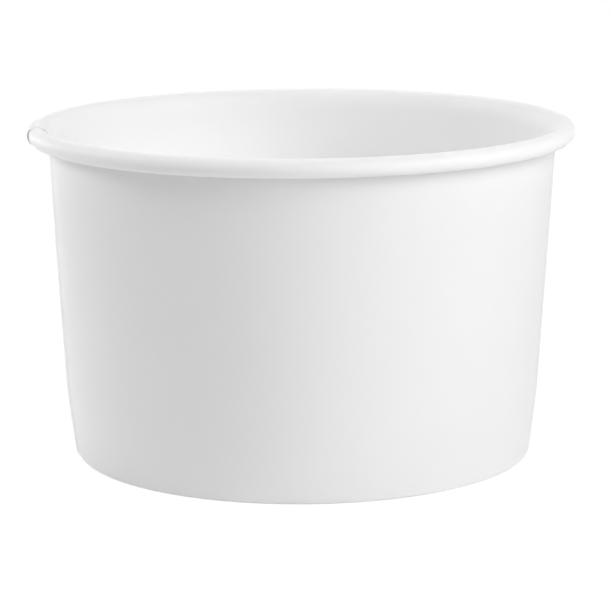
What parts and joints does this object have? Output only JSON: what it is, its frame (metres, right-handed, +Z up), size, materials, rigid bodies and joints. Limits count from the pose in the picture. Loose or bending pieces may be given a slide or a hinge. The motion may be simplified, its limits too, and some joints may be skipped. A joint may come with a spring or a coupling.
{
  "type": "paper sundae cup",
  "caption": "Short white paper sundae cup: tapered paperboard wall with a rolled rim and side seam, folded at the foot round a recessed bottom disc.",
  "frame": {"origin": "centre of the foot, on the plane that the cup stands on", "axes": "+Z up along the cup's axis, towards the rolled rim; the side seam is at -X"},
  "size_m": [0.0964, 0.096, 0.0592],
  "materials": {
    "wall_board": "matte white coated paperboard with a faint fibre grain, smoother on the food side",
    "disc_board": "matte white coated paperboard with a faint fibre grain, smoother on the food side"
  },
  "bodies": {
    "root": {"sidewall": "wall_board", "bottom_disc": "disc_board"}
  },
  "joints": []
}
